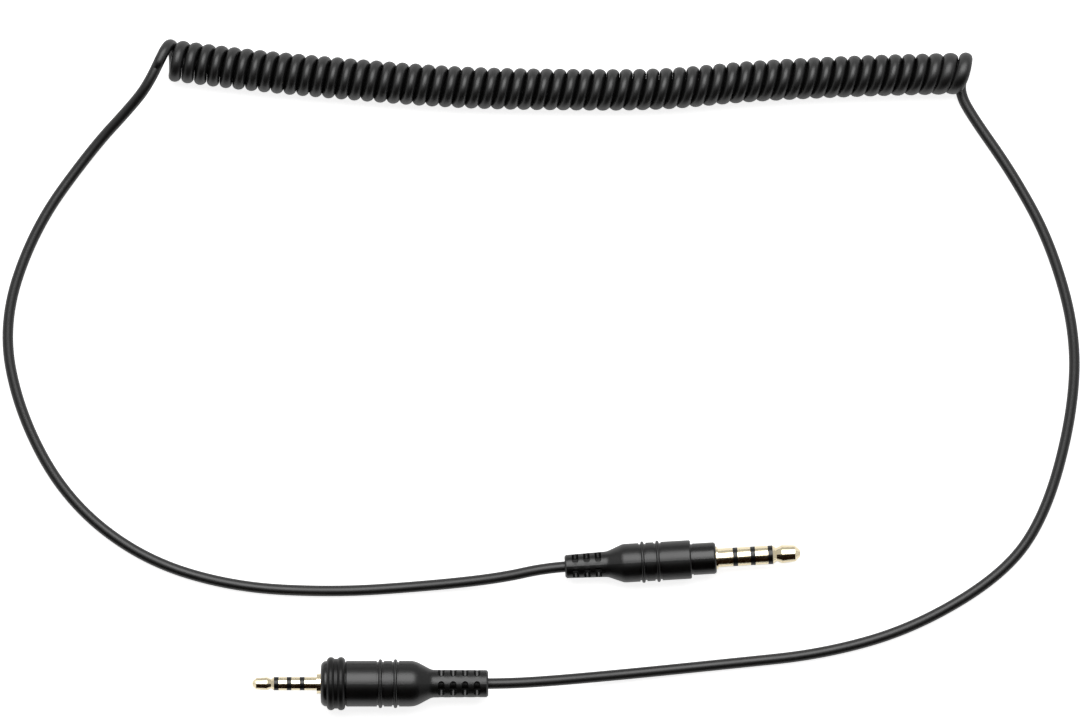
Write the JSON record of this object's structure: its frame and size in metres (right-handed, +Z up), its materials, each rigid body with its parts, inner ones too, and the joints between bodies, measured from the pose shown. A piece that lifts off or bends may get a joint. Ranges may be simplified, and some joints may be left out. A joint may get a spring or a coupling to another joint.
{
  "type": "curled audio cable",
  "caption": "Curled black audio cable with straight leads, a moulded four-contact 3.5 mm plug at one end and a smaller 2.5 mm plug with a seal ring at the other.",
  "frame": {"origin": "on the table, under the middle of the box around the two plugs; the free cable is left out of that box", "axes": "+X along the curled section and towards the tip of the 3.5 mm plug, +Y from the plugs to the curled section, +Z up off the table"},
  "size_m": [0.1999, 0.1242, 0.0099],
  "materials": {
    "cable_jacket": "soft semi-gloss jacket",
    "moulded_cover": "satin moulding",
    "nose_plastic": "smooth semi-gloss",
    "seal_rubber": "smooth soft rubber",
    "contact_gold": "polished gold plating",
    "contact_insulator": "smooth black ring",
    "core_plastic": "natural inner moulding",
    "lug_metal": "thin plated sheet",
    "solder": "dull solder",
    "wire_plain": "lacquered copper",
    "wire_blue": "smooth insulation",
    "wire_red": "smooth insulation",
    "wire_green": "smooth insulation"
  },
  "bodies": {
    "plug35_end": {"plug35_front_insulator": "contact_insulator", "plug35_front_ring_contact": "contact_gold", "plug35_front_ring_lug": "lug_metal", "plug35_front_ring_solder": "solder", "plug35_front_ring_wire": "wire_red", "plug35_inner_mould": "core_plastic", "plug35_jacket_end": "cable_jacket", "plug35_middle_insulator": "contact_insulator", "plug35_nose_collar": "nose_plastic", "plug35_overmould": "moulded_cover", "plug35_rear_insulator": "contact_insulator", "plug35_rear_ring_contact": "contact_gold", "plug35_rear_ring_lug": "lug_metal", "plug35_rear_ring_solder": "solder", "plug35_rear_ring_wire": "wire_blue", "plug35_sleeve_contact": "contact_gold", "plug35_sleeve_lug": "lug_metal", "plug35_sleeve_solder": "solder", "plug35_sleeve_wire": "wire_plain", "plug35_tip_contact": "contact_gold", "plug35_tip_lug": "lug_metal", "plug35_tip_solder": "solder", "plug35_tip_wire": "wire_green", "left_lead": "cable_jacket", "curled_section": "cable_jacket"},
    "plug25_end": {"plug25_front_collar": "nose_plastic", "plug25_front_insulator": "contact_insulator", "plug25_front_ring_contact": "contact_gold", "plug25_front_ring_lug": "lug_metal", "plug25_front_ring_solder": "solder", "plug25_front_ring_wire": "wire_red", "plug25_inner_mould": "core_plastic", "plug25_jacket_end": "cable_jacket", "plug25_middle_insulator": "contact_insulator", "plug25_overmould": "moulded_cover", "plug25_rear_insulator": "contact_insulator", "plug25_rear_ring_contact": "contact_gold", "plug25_rear_ring_lug": "lug_metal", "plug25_rear_ring_solder": "solder", "plug25_rear_ring_wire": "wire_blue", "plug25_seal_ring": "seal_rubber", "plug25_sleeve_contact": "contact_gold", "plug25_sleeve_lug": "lug_metal", "plug25_sleeve_solder": "solder", "plug25_sleeve_wire": "wire_plain", "plug25_tip_contact": "contact_gold", "plug25_tip_lug": "lug_metal", "plug25_tip_solder": "solder", "plug25_tip_wire": "wire_green", "right_lead": "cable_jacket"}
  },
  "joints": [
    {"name": "coil_stretch", "type": "slide", "parent": "plug35_end", "child": "plug25_end", "axis": [1, 0, 0], "range_m": [0, 0.3], "stiffness_N_per_m": 10, "deforming": ["curled_section"]}
  ]
}
